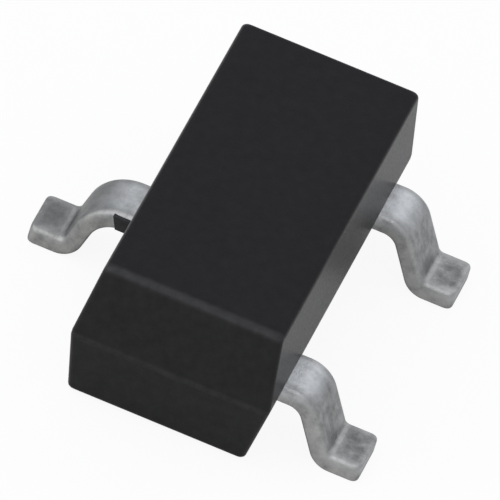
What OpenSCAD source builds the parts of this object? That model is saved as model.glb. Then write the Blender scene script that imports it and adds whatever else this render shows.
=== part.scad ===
// Three-lead surface-mount transistor: a moulded body round a stamped lead frame, a die and two bond wires.
// Lengths are in millimetres. The seating plane is Z = 0 and the origin is under the middle of the body.
// The body's length lies along X. The collector lead leaves on the +Y side, base and emitter on the -Y side.

/* [Moulded body] */
// Length of the body at the parting line, along X
body_length = 2.90; // [2.80:0.01:3.04]
// Width of the body at the parting line, along Y
body_width = 1.30; // [1.20:0.01:1.40]
// Height of the top face above the seating plane
body_top = 1.00; // [0.89:0.01:1.12]
// Gap between the seating plane and the underside of the body
standoff = 0.02; // [0.01:0.01:0.10]
// Height of the parting line above the seating plane, which is also the top face of the lead frame
parting_height = 0.48; // [0.45:0.01:0.55]
// Height of the upright band where the two halves of the mould met
parting_band = 0.03; // [0.01:0.01:0.06]
// Draft of the walls above the parting line, in degrees
upper_draft_angle = 7.5; // [4:0.5:12]
// Draft of the walls below the parting line, in degrees
lower_draft_angle = 9; // [4:0.5:12]
// Radius of the edges round the top face and the underside
edge_radius = 0.04; // [0.01:0.005:0.06]
// Radius of the four upright corners
corner_radius = 0.035; // [0.01:0.005:0.06]
// How far the web of plastic left on one side of the collector lead reaches out from the body, along its top
web_reach = 0.13; // [0.08:0.01:0.18]
// Thickness of that web, along X
web_thickness = 0.02; // [0.01:0.005:0.05]
// Lean of that web's outer end, in degrees from upright
web_lean_angle = 20; // [0:1:30]

/* [Leads] */
// Width of each lead
lead_width = 0.39; // [0.30:0.01:0.50]
// Thickness of the lead frame's sheet
lead_thickness = 0.12; // [0.08:0.005:0.18]
// Distance between the base lead and the emitter lead, along X
lead_pitch = 1.90; // [1.78:0.01:2.04]
// Level run of a lead outside the body, before it bends down
shoulder_run = 0.06; // [0.04:0.005:0.15]
// Inside radius of the bend at the shoulder of the base lead and of the emitter lead
shoulder_radius = 0.11; // [0.05:0.005:0.14]
// Inside radius of the bend at the collector lead's shoulder
collector_shoulder_radius = 0.18; // [0.10:0.005:0.22]
// Inside radius of the bend at the heel
heel_radius = 0.04; // [0.02:0.005:0.07]
// Slope of the leg between the bends of the base lead and of the emitter lead, in degrees from level
leg_angle = 62; // [55:1:80]
// Slope of the collector lead's leg, in degrees from level
collector_leg_angle = 74; // [60:1:80]
// Level run of the foot of the base lead and of the emitter lead, from the lower bend to the toe
foot_length = 0.19; // [0.10:0.01:0.30]
// Rounding along a lead's upper edges, where the punch drew the sheet in
roll_radius = 0.04; // [0.015:0.005:0.05]
// Rounding along a lead's lower edges
lead_edge_radius = 0.015; // [0.01:0.005:0.03]
// Rounding of the toe's corners, seen from above
toe_radius = 0.05; // [0.01:0.005:0.08]

/* [Lead frame inside the body] */
// Length of the die paddle, along X
paddle_length = 0.96; // [0.60:0.02:1.10]
// Width of the die paddle, along Y
paddle_width = 0.56; // [0.45:0.01:0.60]
// Plastic between the paddle and the side of the body
paddle_wall = 0.20; // [0.15:0.01:0.25]
// Length of a bond post, along X
post_length = 0.56; // [0.45:0.01:0.70]
// Width of a bond post, along Y
post_width = 0.22; // [0.16:0.01:0.26]
// Plastic between a bond post and the side of the body
post_wall = 0.16; // [0.12:0.01:0.20]
// Corner radius of the paddle and of the posts
frame_corner_radius = 0.05; // [0.02:0.005:0.07]

/* [Die and bonds] */
// Side of the square die
die_side = 0.36; // [0.26:0.01:0.42]
// Thickness of the die
die_thickness = 0.15; // [0.10:0.01:0.18]
// Thickness of the die attach
attach_thickness = 0.02; // [0.01:0.005:0.03]
// How far the die attach reaches past the die on each side
attach_margin = 0.015; // [0.005:0.005:0.03]
// Diameter of the bond wires
wire_diameter = 0.025; // [0.018:0.001:0.035]
// Distance between the two ball bonds, along X
ball_pitch = 0.18; // [0.10:0.01:0.24]
// Diameter of a ball bond
ball_diameter = 0.07; // [0.05:0.005:0.09]
// Height of a ball bond
ball_height = 0.018; // [0.012:0.001:0.03]
// Height of a wire's loop above the die
loop_height = 0.13; // [0.12:0.005:0.16]
// Radius of the bend over the ball bond, along the wire's middle
loop_radius = 0.06; // [0.04:0.005:0.07]
// Radius of the bend where the wire comes down to the post, along the wire's middle
landing_radius = 0.15; // [0.08:0.01:0.20]
// Length of wire pressed onto the post
stitch_length = 0.06; // [0.04:0.005:0.10]
// How deep the stitch is pressed flat
stitch_squash = 0.006; // [0.002:0.001:0.010]
// Distance from the post's inner end to the end of the stitch
stitch_inset = 0.15; // [0.10:0.01:0.25]

/* [Hidden] */
$fn = 48;
// Flats in each bend, in each rounded corner and round a wire
BEND_STEPS = 12;
CORNER_STEPS = 5;
WIRE_SIDES = 12;
// The most of a section's shorter side that one rounded corner takes
CORNER_SHARE = 0.45;
BASE = -1;
EMITTER = 1;
side_y = body_width / 2;
// Heights of the stack, from the lead frame up
frame_mid = parting_height - lead_thickness / 2;
die_bottom = parting_height + attach_thickness;
die_top = die_bottom + die_thickness;
attach_side = die_side + 2 * attach_margin;
// The toes on both sides of the body reach equally far out
collector_foot_length = foot_length + heel_reach(shoulder_radius, leg_angle)
                        - heel_reach(collector_shoulder_radius, collector_leg_angle);
// The stretch of the toe that is rounded off
toe_run = max(toe_radius, roll_radius);
// Middle of the paddle and of the posts, along Y
paddle_y = side_y - paddle_wall - paddle_width / 2;
post_y = -(side_y - post_wall - post_width / 2);

// Radius of a bend along the middle of the sheet
function mid_radius(inside) = inside + lead_thickness / 2;

// Length of a gull-wing strip's leg between its bends, and how far the end of the lower bend is from the body
function leg_length(shoulder, angle) =
    (parting_height - lead_thickness - (mid_radius(shoulder) + mid_radius(heel_radius)) * (1 - cos(angle)))
    / sin(angle);
function heel_reach(shoulder, angle) =
    shoulder_run + (mid_radius(shoulder) + mid_radius(heel_radius)) * sin(angle)
    + leg_length(shoulder, angle) * cos(angle);

// A place on the path of a strip or wire is [distance out, height, angle down from level].
// These give the place after a straight run and after a bend, whose angle is positive downwards.
function run_on(at, length) = [at.x + length * cos(at.z), at.y - length * sin(at.z), at.z];
function turn_on(at, radius, angle) =
    let (r = angle < 0 ? -radius : radius)
    [at.x + r * (sin(at.z + angle) - sin(at.z)), at.y + r * (cos(at.z + angle) - cos(at.z)), at.z + angle];

// The places along a list of steps, each ["run", length] or ["bend", radius, angle]
function path(at, steps, i = 0) =
    i == len(steps) ? [at]
    : let (step = steps[i])
      step[0] == "run" ? concat([at], path(run_on(at, step[1]), steps, i + 1))
      : concat([for (k = [0 : BEND_STEPS - 1]) turn_on(at, step[1], step[2] * k / BEND_STEPS)],
               path(turn_on(at, step[1], step[2]), steps, i + 1));

// Sections, as [across, up] points: a rectangle with its upper and lower corners rounded, and a circle
function rounded_section(size, upper, lower) =
    [for (corner = [0 : 3], k = [0 : CORNER_STEPS])
        let (a = 90 * (corner + k / CORNER_STEPS),
             r = min(corner < 2 ? upper : lower, CORNER_SHARE * min(size)))
        [(corner == 0 || corner == 3 ? 1 : -1) * (size.x / 2 - r) + r * cos(a),
         (corner < 2 ? 1 : -1) * (size.y / 2 - r) + r * sin(a)]];
function wire_section(diameter) =
    [for (k = [0 : WIRE_SIDES - 1]) diameter / 2 * [cos(360 * k / WIRE_SIDES), sin(360 * k / WIRE_SIDES)]];

// A section set square to the path at one place
function placed(section, at) = [for (p = section) [at.x + p.y * sin(at.z), p.x, at.y + p.y * cos(at.z)]];

// How far a rounded end has drawn in, at a distance from its tip
function drawn_in(distance, radius) =
    distance >= radius ? 0 : radius - sqrt(pow(radius, 2) - pow(radius - distance, 2));

// The solid between a row of sections
module skin(rings) {
    n = len(rings[0]);
    last = (len(rings) - 1) * n;
    polyhedron(points = [for (ring = rings) each ring],
               faces = concat([[for (j = [0 : n - 1]) j]],
                              [for (i = [0 : len(rings) - 2], j = [0 : n - 1])
                                  let (next = (j + 1) % n)
                                  [i * n + j, (i + 1) * n + j, (i + 1) * n + next, i * n + next]],
                              [[for (j = [n - 1 : -1 : 0]) last + j]]));
}

// A rectangle about the origin with round corners
module rounded_rectangle(size, radius) {
    square([size.x - 2 * radius, size.y], center = true);
    square([size.x, size.y - 2 * radius], center = true);
    for (x = [-1, 1], y = [-1, 1])
        translate([x * (size.x / 2 - radius), y * (size.y / 2 - radius)]) circle(radius);
}

// The rounded edge at the end of a wall that leans in from the parting band, as [inset, height above the band]
function wall_edge(height, draft) =
    let (mid = height - edge_radius,
         inset = edge_radius * cos(draft) + (mid + edge_radius * sin(draft)) * tan(draft))
    [for (k = [0 : CORNER_STEPS])
        let (a = draft + (90 - draft) * k / CORNER_STEPS)
        [inset - edge_radius * cos(a), mid + edge_radius * sin(a)]];

// Outer form of the body: walls that lean in from the parting band to the top and to the underside
module mould_shape() {
    band_top = parting_height + parting_band / 2;
    band_bottom = parting_height - parting_band / 2;
    below = wall_edge(band_bottom - standoff, lower_draft_angle);
    above = wall_edge(body_top - band_top, upper_draft_angle);
    profile = concat([for (k = [CORNER_STEPS : -1 : 0]) [below[k][0], band_bottom - below[k][1]]],
                     [[0, band_bottom], [0, band_top]], [for (p = above) [p[0], band_top + p[1]]]);
    skin([for (p = profile)
        let (size = [body_length - 2 * p[0], body_width - 2 * p[0]])
        [for (q = rounded_section(size, corner_radius, corner_radius)) [q.x, q.y, p[1]]]]);
}

// A gull-wing strip from a place inside the body's side wall to its rounded toe, which points along +X.
// It has its own inside radius at the shoulder, slope of the leg and length of the foot.
module gull_wing(inside, shoulder, angle, foot) {
    strip = path([side_y - inside, frame_mid, 0],
                 [["run", inside + shoulder_run], ["bend", mid_radius(shoulder), angle],
                  ["run", leg_length(shoulder, angle)], ["bend", mid_radius(heel_radius), -angle],
                  ["run", foot - toe_run]]);
    tip = strip[len(strip) - 1];
    section = rounded_section([lead_width, lead_thickness], roll_radius, lead_edge_radius);
    skin(concat([for (at = strip) placed(section, at)],
                [for (k = [1 : CORNER_STEPS])
                    let (on = toe_run * sin(90 * k / CORNER_STEPS), left = toe_run - on)
                    placed(rounded_section([lead_width - 2 * drawn_in(left, toe_radius),
                                            lead_thickness - 2 * drawn_in(left, lead_edge_radius)],
                                           roll_radius, lead_edge_radius), run_on(tip, on))]));
}

// The web of plastic left on one sheared side of a gull-wing strip, from halfway down its rounded upper edge to
// halfway up its lower one. It reaches into the strip, which is cut out of it.
module lead_web() {
    root = side_y - web_reach;
    tip = side_y + web_reach;
    bottom = parting_height - lead_thickness + lead_edge_radius / 2;
    top = parting_height - roll_radius / 2;
    lower_tip = tip - (top - bottom) * tan(web_lean_angle);
    translate([0, lead_width / 2 + web_thickness, 0]) rotate([90, 0, 0])
        linear_extrude(web_thickness + roll_radius)
            polygon([[root, bottom], [lower_tip, bottom], [tip, top], [root, top]]);
}

// A flat part of the lead frame inside the body
module frame_flat(middle, size) {
    translate([middle.x, middle.y, frame_mid])
        linear_extrude(lead_thickness, center = true) rounded_rectangle(size, frame_corner_radius);
}

module bond_post(side) {
    frame_flat([side * lead_pitch / 2, post_y], [post_length, post_width]);
}

// The base or emitter lead with its bond post
module signal_lead(side) {
    bond_post(side);
    translate([side * lead_pitch / 2, 0, 0]) rotate(-90)
        gull_wing(post_wall + post_width / 2, shoulder_radius, leg_angle, foot_length);
}

// A square block on the paddle, between two heights
module on_paddle(side, bottom, top) {
    translate([-side / 2, paddle_y - side / 2, bottom]) cube([side, side, top - bottom]);
}

// A bond wire, from its ball on the die to the end of its stitch, with the stitch still round
module drawn_wire(side, ball_bottom) {
    ball = [side * ball_pitch / 2, paddle_y];
    stitch = [side * (lead_pitch / 2 - post_length / 2 + stitch_inset), post_y];
    turn = stitch - ball;
    // Middles of the two bends, in the wire's own upright plane and from the top of the die
    over = [loop_radius, loop_height - loop_radius - wire_diameter / 2];
    stitch_mid = parting_height + wire_diameter / 2 - stitch_squash - die_top;
    under = [norm(turn) - stitch_length, stitch_mid + landing_radius];
    // The slanting run touches both bends
    apart = norm(under - over);
    descent = atan2(over.y - under.y, under.x - over.x) + asin((loop_radius + landing_radius) / apart);
    slant = sqrt(pow(apart, 2) - pow(loop_radius + landing_radius, 2));
    wire = path([0, ball_height / 2, -90],
                [["run", over.y - ball_height / 2], ["bend", loop_radius, 90 + descent], ["run", slant],
                 ["bend", landing_radius, -descent], ["run", stitch_length]]);
    translate([ball.x, ball.y, ball_bottom]) cylinder(h = die_top + ball_height - ball_bottom, d = ball_diameter);
    translate([ball.x, ball.y, die_top]) rotate(atan2(turn.y, turn.x))
        skin([for (at = wire) placed(wire_section(wire_diameter), at)]);
}

// The same wire with its stitch pressed flat onto the post
module bond_wire(side) {
    difference() {
        drawn_wire(side, die_top);
        bond_post(side);
    }
}

module collector_lead() {
    color("#c3c4c6") {
        frame_flat([0, paddle_y], [paddle_length, paddle_width]);
        rotate(90) gull_wing(paddle_wall + paddle_width / 2, collector_shoulder_radius, collector_leg_angle,
                             collector_foot_length);
    }
}

module base_lead() {
    color("#c3c4c6") signal_lead(BASE);
}

module emitter_lead() {
    color("#c3c4c6") signal_lead(EMITTER);
}

module die_attach() {
    color("#a9a9a4") on_paddle(attach_side, parting_height, die_bottom);
}

module silicon_die() {
    color("#5d6270") on_paddle(die_side, die_bottom, die_top);
}

module base_bond_wire() {
    color("gold") bond_wire(BASE);
}

module emitter_bond_wire() {
    color("gold") bond_wire(EMITTER);
}

// The plastic fills what the lead frame, the die with its attach and the wires leave free. Here the stack and
// the wires reach on into the frame and the die, so that they leave one open space.
module mould_body() {
    color("#2a2a2c") difference() {
        union() {
            mould_shape();
            rotate(90) lead_web();
        }
        collector_lead();
        on_paddle(attach_side, frame_mid, die_bottom);
        on_paddle(die_side, frame_mid, die_top);
        for (side = [BASE, EMITTER]) {
            signal_lead(side);
            drawn_wire(side, die_bottom);
        }
    }
}

mould_body();
collector_lead();
base_lead();
emitter_lead();
die_attach();
silicon_die();
base_bond_wire();
emitter_bond_wire();
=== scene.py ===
"""A three-lead surface-mount transistor on a pale studio floor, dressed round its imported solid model."""

import math

import bmesh
import bpy
from mathutils import Matrix, Vector


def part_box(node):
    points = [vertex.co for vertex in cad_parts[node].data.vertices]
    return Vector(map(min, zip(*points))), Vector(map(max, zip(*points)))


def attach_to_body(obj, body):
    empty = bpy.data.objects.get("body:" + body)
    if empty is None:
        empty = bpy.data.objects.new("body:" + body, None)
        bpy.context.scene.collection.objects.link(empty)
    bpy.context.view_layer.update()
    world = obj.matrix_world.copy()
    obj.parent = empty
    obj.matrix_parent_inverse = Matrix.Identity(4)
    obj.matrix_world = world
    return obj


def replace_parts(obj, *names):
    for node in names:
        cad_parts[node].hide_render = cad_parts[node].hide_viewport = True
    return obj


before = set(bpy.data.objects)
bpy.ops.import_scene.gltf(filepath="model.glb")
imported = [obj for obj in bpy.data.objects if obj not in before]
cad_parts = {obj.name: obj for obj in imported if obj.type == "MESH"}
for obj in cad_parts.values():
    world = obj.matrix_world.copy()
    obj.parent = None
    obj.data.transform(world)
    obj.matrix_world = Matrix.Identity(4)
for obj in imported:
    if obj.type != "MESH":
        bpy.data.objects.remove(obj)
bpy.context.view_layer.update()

# The three leads. Each is one strip of copper alloy sheet, stamped with its paddle or bond post, plated with
# matte tin and bent to a gull wing once the body is moulded round its inner end. The bending tool rubs the
# shoulder bright, and a highlight is painted on it as well; handling rubs the edges, which carry a painted
# highlight too, and the plating stays dull on the slope and on the foot.
MM = 0.001
hair = 0.001 * MM
body_side = 0.65 * MM
frame_top = 0.48 * MM
lead_width = 0.39 * MM
lead_thickness = 0.12 * MM
shoulder_run = 0.06 * MM
heel_radius = 0.04 * MM
toe_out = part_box("collector_lead")[1][1]
rolled_edge = 0.04 * MM
stamped_edge = 0.015 * MM
toe_corner = 0.05 * MM
flat_corner = 0.05 * MM
flat_step = 0.005 * MM
bend_segments = 20
corner_segments = 6
top_cuts = 10

# Where the strip is worn and where a highlight is painted on it: along its rolled edges and toe, worn lighter
# and with a painted highlight, and in a painted highlight line across the heel that fades out on the foot.
rub_width = 0.05 * MM
heel_line = 0.018 * MM
heel_fade = 0.012 * MM
foot_fade = 0.011 * MM
foot_tail = 0.050 * MM
line_drop = 0.57
tail_share = 0.55

# The plating's tones, among them painted highlights on the shoulder, edges and sides and painted shade on the
# lower edges, and the bands of height, of place, of facing and of rubbing over which one passes into the
# next.
whole = (0.0, 1.0)
foot_band = (0.13 * MM, 0.20 * MM)
shoulder_band = (0.39 * MM, 0.47 * MM)
collector_band = (0.0, 0.5 * MM)
level_face = (0.8, 0.97)
side_face = (0.2, 0.6)
lower_edge_shade_band = (-1.0, -0.72)
edge_rub = (0.2, 0.9)
collector_dullness = 0.62
dark_tin, pale_tin = (0.200, 0.208, 0.203), (0.392, 0.394, 0.400)
foot_tin = (0.139, 0.144, 0.149)
collector_tin = (0.122, 0.127, 0.124)
lit_side_tin = (0.435, 0.432, 0.413)
lower_edge_shade_tin = (0.098, 0.101, 0.098)
rubbed_highlight_tin = (0.445, 0.45, 0.45)
burnished_highlight_tin = (0.555, 0.57, 0.593)
tin_patch, tin_grain, tin_pitting = 0.07 * MM, 0.014 * MM, 0.0015 * MM
dull_matt, burnished_matt = (0.42, 0.56), (0.30, 0.40)


def noise_layer(tree, feature, detail=3.0, roughness=0.55):
    """Mottling with patches about one feature across, read from the piece's own coordinates."""
    place = tree.nodes.new("ShaderNodeTexCoord")
    mottle = tree.nodes.new("ShaderNodeTexNoise")
    mottle.inputs["Scale"].default_value = 1.0 / feature
    mottle.inputs["Detail"].default_value = detail
    mottle.inputs["Roughness"].default_value = roughness
    tree.links.new(place.outputs["Object"], mottle.inputs["Vector"])
    return mottle.outputs["Fac"]


def spread(tree, value, low, high, from_low=0.3, from_high=0.7):
    """A value brought to a range, by default from the range where most of a mottling lies."""
    ranged = tree.nodes.new("ShaderNodeMapRange")
    ranged.inputs["From Min"].default_value = from_low
    ranged.inputs["From Max"].default_value = from_high
    ranged.inputs["To Min"].default_value = low
    ranged.inputs["To Max"].default_value = high
    tree.links.new(value, ranged.inputs["Value"])
    return ranged.outputs["Result"]


def fed(tree, socket, value):
    """Sets a socket to a number or colour, or links another socket to it."""
    if isinstance(value, bpy.types.NodeSocket):
        tree.links.new(value, socket)
    else:
        socket.default_value = (*value, 1.0) if isinstance(value, tuple) else value


def blended(tree, share, first, second, kind="RGBA"):
    """A colour between two, or a number where the kind is FLOAT, by a share from 0 to 1."""
    mix = tree.nodes.new("ShaderNodeMix")
    mix.data_type = kind
    fed(tree, mix.inputs["A"], first)
    fed(tree, mix.inputs["B"], second)
    tree.links.new(share, mix.inputs["Factor"])
    return mix.outputs["Result"]


def reckoned(tree, operation, first, second):
    """What an operation makes of two values."""
    result = tree.nodes.new("ShaderNodeMath")
    result.operation = operation
    fed(tree, result.inputs[0], first)
    fed(tree, result.inputs[1], second)
    return result.outputs["Value"]


def times(tree, first, second):
    """The product of two values."""
    return reckoned(tree, "MULTIPLY", first, second)


def roughened(tree, height, depth):
    """A bump of a real depth, in metres."""
    bump = tree.nodes.new("ShaderNodeBump")
    bump.inputs["Distance"].default_value = depth
    bump.inputs["Strength"].default_value = 1.0
    tree.links.new(height, bump.inputs["Height"])
    return bump.outputs["Normal"]


def finish_of(name):
    """A new material with its tree and its shader."""
    material = bpy.data.materials.new(name)
    material.use_nodes = True
    return material, material.node_tree, material.node_tree.nodes["Principled BSDF"]


def along(tree, vector, axis):
    """One axis of a vector."""
    split = tree.nodes.new("ShaderNodeSeparateXYZ")
    tree.links.new(vector, split.inputs["Vector"])
    return split.outputs[axis]


def place_on(tree, axis):
    """The distance along one axis of the part, in metres: along Z, the height above the seating plane."""
    return along(tree, tree.nodes.new("ShaderNodeTexCoord").outputs["Object"], axis)


def facing_on(tree, axis):
    """How far a surface faces along one axis, from -1 to 1."""
    return along(tree, tree.nodes.new("ShaderNodeNewGeometry").outputs["Normal"], axis)


tin, tree, shader = finish_of("matte_tin_plate")
shader.inputs["Metallic"].default_value = 1.0
patches = noise_layer(tree, tin_patch, detail=4.0, roughness=0.6)
grain = noise_layer(tree, tin_grain, detail=2.0)
# The layer read here holds edge wear, painted highlights on the edges and heel, and painted shade low on the
# sides.
wear_light_shade_layer = tree.nodes.new("ShaderNodeAttribute")
wear_light_shade_layer.attribute_name = "wear_and_painted_light"
wear_light_shade = wear_light_shade_layer.outputs["Fac"]
height = place_on(tree, "Z")
dull_tin = blended(tree, spread(tree, patches, *whole), dark_tin, pale_tin)

# The level tops of the feet are darker in patches.
foot_top = times(tree, spread(tree, height, 1.0, 0.0, *foot_band),
                 spread(tree, facing_on(tree, "Z"), *whole, *level_face))
foot_top_darkening = times(tree, foot_top, spread(tree, patches, 0.8, 0.2))
dull_tin = blended(tree, foot_top_darkening, dull_tin, foot_tin)

collector_side = spread(tree, place_on(tree, "Y"), *whole, *collector_band)
dull_tin = blended(tree, times(tree, collector_side, collector_dullness), dull_tin, collector_tin)

# The sides of the strip, the faces that look along X, are painted lighter and warmer in patches: painted
# light.
sideways = facing_on(tree, "X")
sideways = spread(tree, times(tree, sideways, sideways), *whole, *side_face)
lit_sides = times(tree, sideways, spread(tree, patches, 0.2, 0.75))
dull_tin = blended(tree, lit_sides, dull_tin, lit_side_tin)
# The lower edges of the strip's sides are painted darker: painted shade.
lower_edge_shade = times(tree, spread(tree, wear_light_shade, 0.6, 0.0, *lower_edge_shade_band), sideways)
dull_tin = blended(tree, lower_edge_shade, dull_tin, lower_edge_shade_tin)

# The rolled edges, the toe and the heel line are painted lighter, most on the feet: wear and a painted
# highlight.
low_down = times(tree, spread(tree, height, 1.0, 0.4, *foot_band),
                 spread(tree, collector_side, 1.0, 0.55, *whole))
edge_wear_and_highlight = times(tree, times(tree, wear_light_shade, low_down), spread(tree, patches, 0.5, 1.0))
edged_tin = blended(tree, edge_wear_and_highlight, dull_tin, rubbed_highlight_tin)

# The shoulder is painted brighter and bluer, less on its edges: burnished and with a painted highlight.
high_up = times(tree, spread(tree, height, *whole, *shoulder_band),
                spread(tree, collector_side, 1.0, 0.7, *whole))
burnish_and_highlight = times(tree, times(tree, high_up, spread(tree, patches, 0.65, 1.0)),
                spread(tree, wear_light_shade, 1.0, 0.4, *edge_rub))
tree.links.new(blended(tree, burnish_and_highlight, edged_tin, burnished_highlight_tin), shader.inputs["Base Color"])
matt = blended(tree, burnish_and_highlight, spread(tree, grain, *dull_matt), spread(tree, grain, *burnished_matt), "FLOAT")
tree.links.new(matt, shader.inputs["Roughness"])
tree.links.new(roughened(tree, grain, tin_pitting), shader.inputs["Normal"])


def shown(bm, name, material):
    """Puts a finished mesh in the scene as one piece of the part."""
    bmesh.ops.recalc_face_normals(bm, faces=bm.faces[:])
    for face in bm.faces:
        face.smooth = True
    mesh = bpy.data.meshes.new(name)
    bm.to_mesh(mesh)
    bm.free()
    mesh.materials.append(material)
    piece = bpy.data.objects.new(name, mesh)
    bpy.context.scene.collection.objects.link(piece)
    even = piece.modifiers.new("even_shading", "WEIGHTED_NORMAL")
    even.keep_sharp = True
    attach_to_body(piece, "root")
    return piece


def stamped_section(bm, y):
    """The end of a strip: its upper corners drawn in by the punch, its lower ones nearly square. The wear
    layer
    holds wear and painted light: 1 on the rolled edges, worn and painted with a highlight, falling to 0 over
    the top and to -1 down the sides, where the lowest values paint shade along the lower edges."""
    wear_and_painted_light = bm.verts.layers.float.new("wear_and_painted_light")
    bmesh.ops.create_grid(bm, x_segments=1, y_segments=1, size=0.5)
    for v in bm.verts:
        v.co = (v.co.x * lead_width, y, frame_top + (v.co.y - 0.5) * lead_thickness)
    middle = frame_top - lead_thickness / 2
    for upper, corner in ((True, rolled_edge), (False, stamped_edge)):
        bmesh.ops.bevel(bm, geom=[v for v in bm.verts if (v.co.z > middle) == upper], offset=corner,
                        affect="VERTICES", segments=corner_segments, profile=0.5, material=-1)
    face_edges = [e for e in bm.edges if min(v.co.z for v in e.verts) > frame_top - hair]
    bmesh.ops.subdivide_edges(bm, edges=face_edges, cuts=top_cuts)
    for v in bm.verts:
        inwards = lead_width / 2 - rolled_edge - abs(v.co.x)
        downwards = frame_top - v.co.z
        v[wear_and_painted_light] = 1 - max(min(inwards / rub_width, 1), downwards / lead_thickness * 2)
    return bm.faces[:][0], wear_and_painted_light


def end_face(geometry):
    """The face among what an operator has made."""
    return next(g for g in geometry if isinstance(g, bmesh.types.BMFace))


def drawn_on(bm, tip, way, across=1.0, up=1.0):
    """Draws an end face on by a straight stretch, widens or narrows it there, and gives the new end face."""
    tip = end_face(bmesh.ops.extrude_face_region(bm, geom=[tip, *tip.edges, *tip.verts])["geom"])
    bmesh.ops.translate(bm, vec=way, verts=tip.verts[:])
    about = Matrix.Translation(-tip.calc_center_bounds())
    bmesh.ops.scale(bm, vec=(across, 1, up), space=about, verts=tip.verts[:])
    return tip


def bent_on(bm, tip, centre, angle):
    """Draws an end face round a bend across it, and gives the new end face."""
    return end_face(bmesh.ops.spin(bm, geom=[tip, *tip.edges, *tip.verts], cent=centre, axis=(1, 0, 0),
                                   angle=angle, steps=bend_segments)["geom_last"])


def rounded_end(bm, tip, run, size, corners, way=1):
    """Draws an end face on to a rounded end, with radii across and up, along Y or against it."""
    on, width, height = 0.0, *size
    for k in range(1, corner_segments + 1):
        reach = run * math.sin(math.pi / 2 * k / corner_segments)
        left = run - reach
        inset = [c - math.sqrt(max(c * c - max(c - left, 0) ** 2, 0)) for c in corners]
        now = (size[0] - 2 * inset[0], size[1] - 2 * inset[1])
        tip = drawn_on(bm, tip, (0, way * (reach - on), 0), now[0] / width, now[1] / height)
        on, (width, height) = reach, now
    return tip


def heel_highlight_and_toe_rub(bm, wear_and_painted_light, heel):
    """Marks the painted highlight line across the heel, on the top alone, and the worn, highlighted edge of
    the toe.
    """
    for v in bm.verts:
        up_leg, along_foot = heel - heel_line - v.co.y, v.co.y - heel
        if v.co.z > lead_thickness - rolled_edge and abs(v.co.x) < (lead_width - rolled_edge) / 2:
            line = max(1 - line_drop * along_foot / foot_fade, tail_share * (1 - along_foot / foot_tail))
            v[wear_and_painted_light] = max(v[wear_and_painted_light], min(1, 1 - up_leg / heel_fade, line))
        if v.co.z > lead_thickness / 2:
            v[wear_and_painted_light] = max(v[wear_and_painted_light], 1 - (toe_out - v.co.y) / rub_width)


def gull_wing_lead(name, x, turn, shoulder_radius, leg_angle, flat_length, flat_width, wall):
    """One lead, from the flat inside the body to its toe, made along Y and then turned to its side."""
    bm = bmesh.new()
    root, wear_and_painted_light = stamped_section(bm, body_side - wall)
    shoulder_mid = shoulder_radius + lead_thickness / 2
    heel_mid = heel_radius + lead_thickness / 2
    drop = frame_top - lead_thickness - (shoulder_mid + heel_mid) * (1 - math.cos(leg_angle))
    tip = drawn_on(bm, root, (0, wall + shoulder_run, 0))
    tip = bent_on(bm, tip, tip.calc_center_bounds() - Vector((0, 0, shoulder_mid)), -leg_angle)
    tip = drawn_on(bm, tip, (0, drop / math.tan(leg_angle), -drop))
    upwards = Vector((0, math.sin(leg_angle), math.cos(leg_angle)))
    tip = bent_on(bm, tip, tip.calc_center_bounds() + upwards * heel_mid, leg_angle)
    heel = tip.calc_center_bounds().y
    toe_run = max(toe_corner, rolled_edge)
    for step in (foot_fade, foot_tail - foot_fade, toe_out - toe_run - heel - foot_tail):
        tip = drawn_on(bm, tip, (0, step, 0))
    rounded_end(bm, tip, toe_run, (lead_width, lead_thickness), (toe_corner, stamped_edge))
    heel_highlight_and_toe_rub(bm, wear_and_painted_light, heel)
    inner = drawn_on(bm, root, (0, -flat_step, 0))
    for v in inner.verts:
        v.co.x += math.copysign((flat_length - lead_width) / 2, v.co.x)
    inner = drawn_on(bm, inner, (0, flat_step + flat_corner - flat_width, 0))
    rounded_end(bm, inner, flat_corner, (flat_length, lead_thickness), (flat_corner, 0.0), way=-1)
    bmesh.ops.rotate(bm, verts=bm.verts[:], cent=(0, 0, 0), matrix=Matrix.Rotation(turn, 3, "Z"))
    bmesh.ops.translate(bm, vec=(x, 0, 0), verts=bm.verts[:])
    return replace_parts(shown(bm, name + "_tinned", tin), name)


gull_wing_lead("collector_lead", x=0.0, turn=0.0, shoulder_radius=0.18 * MM, leg_angle=math.radians(74),
               flat_length=0.96 * MM, flat_width=0.56 * MM, wall=0.20 * MM)
for name, x in (("base_lead", -0.95 * MM), ("emitter_lead", 0.95 * MM)):
    gull_wing_lead(name, x=x, turn=math.pi, shoulder_radius=0.11 * MM, leg_angle=math.radians(62),
                   flat_length=0.56 * MM, flat_width=0.22 * MM, wall=0.16 * MM)


# The die attach. A dab of silver-filled epoxy, pressed out to a thin even layer as the die is set down on the
# paddle, and cured.
def mottled(tree, shader, layer, colours, roughness):
    """A colour and a roughness that both follow one layer of mottling."""
    tree.links.new(blended(tree, spread(tree, layer, *whole), *colours), shader.inputs["Base Color"])
    tree.links.new(spread(tree, layer, *roughness), shader.inputs["Roughness"])


def coated(node, material):
    """Gives a solid of the model its finish."""
    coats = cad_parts[node].data.materials
    coats.clear()
    coats.append(material)


flake_size, flake_height = 0.008 * MM, 0.002 * MM
attach_tones, attach_matt = ((0.40, 0.40, 0.37), (0.66, 0.66, 0.63)), (0.45, 0.7)
attach, tree, shader = finish_of("silver_epoxy")
flakes = noise_layer(tree, flake_size, detail=2.0)
mottled(tree, shader, flakes, attach_tones, attach_matt)
tree.links.new(roughened(tree, flakes, flake_height), shader.inputs["Normal"])
shader.inputs["Metallic"].default_value = 0.5
coated("die_attach", attach)

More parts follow.
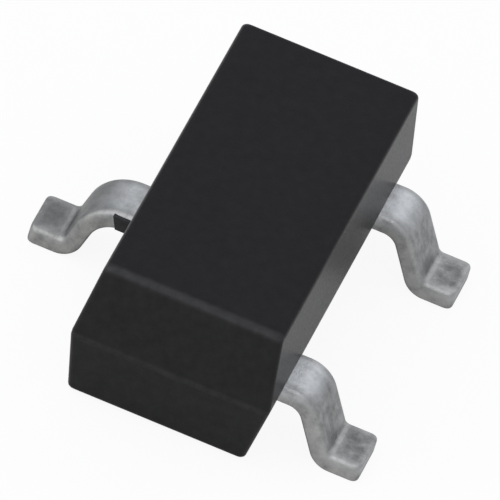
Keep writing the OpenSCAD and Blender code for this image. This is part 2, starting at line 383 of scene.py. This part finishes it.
# The die. A square of silicon sawn from its wafer: polished on top, with fine saw marks down its sides, and
# held on the paddle by the attach.
saw_mark = 0.012 * MM
silicon_tones, silicon_matt = ((0.10, 0.11, 0.14), (0.16, 0.17, 0.21)), (0.12, 0.28)
silicon, tree, shader = finish_of("sawn_silicon")
sawing = noise_layer(tree, saw_mark, detail=4.0)
mottled(tree, shader, sawing, silicon_tones, silicon_matt)
shader.inputs["Metallic"].default_value = 0.6
coated("silicon_die", silicon)

# The bond wires. Drawn gold, finer than a hair. Each starts at a ball pressed onto the die, loops over, and
# ends in a flat stitch pressed onto its post.
drawing_mark = 0.006 * MM
gold_tones, gold_matt = ((0.74, 0.47, 0.12), (0.86, 0.60, 0.20)), (0.18, 0.32)
gold, tree, shader = finish_of("drawn_gold")
drawing = noise_layer(tree, drawing_mark, detail=2.0)
mottled(tree, shader, drawing, gold_tones, gold_matt)
shader.inputs["Metallic"].default_value = 1.0
for wire in ("base_bond_wire", "emitter_bond_wire"):
    coated(wire, gold)

# The body. Black epoxy filled with silica, moulded round the lead frame, the die and the wires in a mould of
# two halves that part at the top of the lead frame. The mould's spark-eroded faces leave it matte.
near_edge = (-1.36 * MM, -1.305 * MM)
parting_from = (0.45 * MM, 0.47 * MM)
parting_to = (0.49 * MM, 0.51 * MM)
web_root = (body_side, body_side + 0.03 * MM)
highlight_facing = (0.18, 0.85)
lit_wall_facing = (0.3, 0.9)
# A darker black for the top and a lighter one for the walls: painted light and shade on one epoxy.
top_shaded_black = ((0.0047, 0.0044, 0.0059), (0.0086, 0.0081, 0.0101))
wall_lit_black = ((0.0143, 0.0143, 0.0140), (0.0210, 0.0210, 0.0206))
# A lighter grey along the parting line: a painted highlight.
parting_highlight_grey = (0.038, 0.038, 0.037)
web_grey = (0.045, 0.045, 0.046)
# A lighter grey on the near top edge: a painted highlight.
edge_highlight_grey = (0.045, 0.045, 0.0465)
epoxy_patch, epoxy_grain, epoxy_pitting = 0.07 * MM, 0.016 * MM, 0.0006 * MM
epoxy_matt = (0.27, 0.36)
moulding, tree, shader = finish_of("moulded_epoxy")
tone = noise_layer(tree, epoxy_patch, detail=6.0, roughness=0.65)
skin = noise_layer(tree, epoxy_grain, detail=3.0)
height, facing_up = place_on(tree, "Z"), facing_on(tree, "Z")
# The rounding of the near top edge is painted lighter: a painted highlight.
near_edge_highlight = times(tree, spread(tree, facing_up, *whole, *highlight_facing),
                  spread(tree, place_on(tree, "X"), 1.0, 0.0, *near_edge))
# The band along the parting line is painted lighter: a painted highlight.
parting_highlight = times(tree, spread(tree, height, *whole, *parting_from),
                spread(tree, height, 1.0, 0.0, *parting_to))
web = spread(tree, place_on(tree, "Y"), *whole, *web_root)
even_tone = spread(tree, tone, *whole)
# The walls take the lighter black and the top the darker: painted light.
epoxy = blended(tree, spread(tree, facing_up, 1.0, 0.0, *lit_wall_facing),
                blended(tree, even_tone, *top_shaded_black), blended(tree, even_tone, *wall_lit_black))
epoxy = blended(tree, times(tree, parting_highlight, spread(tree, tone, 0.2, 0.6)), epoxy, parting_highlight_grey)
epoxy = blended(tree, times(tree, web, spread(tree, tone, 0.2, 1.0)), epoxy, web_grey)
epoxy = blended(tree, times(tree, near_edge_highlight, spread(tree, tone, 0.6, 1.0)), epoxy, edge_highlight_grey)
tree.links.new(epoxy, shader.inputs["Base Color"])
tree.links.new(spread(tree, skin, *epoxy_matt), shader.inputs["Roughness"])
tree.links.new(roughened(tree, skin, epoxy_pitting), shader.inputs["Normal"])
shader.inputs["Specular IOR Level"].default_value = 0.085
coated("mould_body", moulding)

# The studio floor. A plain white sheet that runs on past every view, a hair below the feet. It is white to
# the camera but for the shadow, and partly white in what the metal mirrors.
floor_reach = 1.5
floor_gap = hair
floor_white, floor_mirrored = 0.92, 0.35


def seen_white(tree, mirrored):
    """How far the background is white: wholly to the camera and through clear pieces, in part to metal."""
    path = tree.nodes.new("ShaderNodeLightPath")
    in_metal = times(tree, path.outputs["Is Glossy Ray"], mirrored)
    seen = reckoned(tree, "MAXIMUM", path.outputs["Is Camera Ray"], in_metal)
    return reckoned(tree, "MAXIMUM", seen, path.outputs["Is Transmission Ray"])


def joined(tree, share, first, second, out):
    """Leads a blend of two shaders to an output."""
    both = tree.nodes.new("ShaderNodeMixShader")
    tree.links.new(share, both.inputs["Fac"])
    tree.links.new(first.outputs[0], both.inputs[1])
    tree.links.new(second.outputs[0], both.inputs[2])
    tree.links.new(both.outputs[0], out.inputs["Surface"])


bm = bmesh.new()
bmesh.ops.create_grid(bm, x_segments=1, y_segments=1, size=floor_reach)
bmesh.ops.translate(bm, vec=(0, 0, -floor_gap), verts=bm.verts[:])
mesh = bpy.data.meshes.new("floor")
bm.to_mesh(mesh)
bm.free()
floor = bpy.data.objects.new("floor", mesh)
bpy.context.scene.collection.objects.link(floor)
sheet = bpy.data.materials.new("white_sheet")
sheet.use_nodes = True
tree = sheet.node_tree
tree.nodes.clear()
lit = tree.nodes.new("ShaderNodeBsdfDiffuse")
lit.inputs["Color"].default_value = (0.85, 0.85, 0.85, 1)
white = tree.nodes.new("ShaderNodeEmission")
white.inputs["Color"].default_value = (1, 1, 1, 1)
share = times(tree, seen_white(tree, floor_mirrored), floor_white)
joined(tree, share, lit, white, tree.nodes.new("ShaderNodeOutputMaterial"))
mesh.materials.append(sheet)

# Soft studio light: a broad lamp overhead, a second one on the far side, and a pale grey room all round,
# which stands white behind the floor.
room_mirrored = 0.2
world = bpy.data.worlds.new("room")
world.use_nodes = True
tree = world.node_tree
walls = tree.nodes["Background"]
walls.inputs["Color"].default_value = (0.57, 0.58, 0.605, 1)
backdrop = tree.nodes.new("ShaderNodeBackground")
backdrop.inputs["Color"].default_value = (0.97, 0.97, 0.97, 1)
joined(tree, seen_white(tree, room_mirrored), walls, backdrop, tree.nodes["World Output"])
bpy.context.scene.world = world


def softbox(name, place, size, level):
    """A square lamp that faces the part, at a plain level where 1 is white."""
    lamp = bpy.data.lights.new(name, "AREA")
    lamp.shape = "SQUARE"
    lamp.size = size
    lamp.energy = level * math.pi * size * size
    light = bpy.data.objects.new(name, lamp)
    light.location = place
    light.rotation_euler = Vector(place).to_track_quat("Z", "Y").to_euler()
    bpy.context.scene.collection.objects.link(light)


softbox("overhead", (-0.055, 0.075, 0.115), size=0.24, level=1.0)
softbox("far_side", (0.13, -0.01, 0.09), size=0.16, level=0.43)

# The camera. It stands far off with a long lens, as for a catalogue picture, and leans over by its roll.
# Its aim is a point just beside the middle of the part.
camera_data = bpy.data.cameras.new("catalogue_view")
camera_data.lens = 1500
camera_data.sensor_width = 36
camera_data.clip_start = 0.01
camera_data.clip_end = 10
camera = bpy.data.objects.new("catalogue_view", camera_data)
aim = Vector((-0.0619, -0.0632, 0.5)) * MM
elevation, azimuth, roll = math.radians(38.356), math.radians(-83.022), math.radians(18.080)
distance = 126.787 * MM
flat_reach = math.cos(elevation)
back = Vector((math.sin(azimuth) * flat_reach, -math.cos(azimuth) * flat_reach, math.sin(elevation)))
level_right = Vector((0, 0, 1)).cross(back).normalized()
level_up = back.cross(level_right)
right = level_right * math.cos(roll) + level_up * math.sin(roll)
up = back.cross(right)
camera.matrix_world = Matrix((right, up, back)).transposed().to_4x4()
camera.location = aim + back * distance
bpy.context.scene.collection.objects.link(camera)
bpy.context.scene.camera = camera

bpy.context.scene.view_settings.view_transform = "Standard"
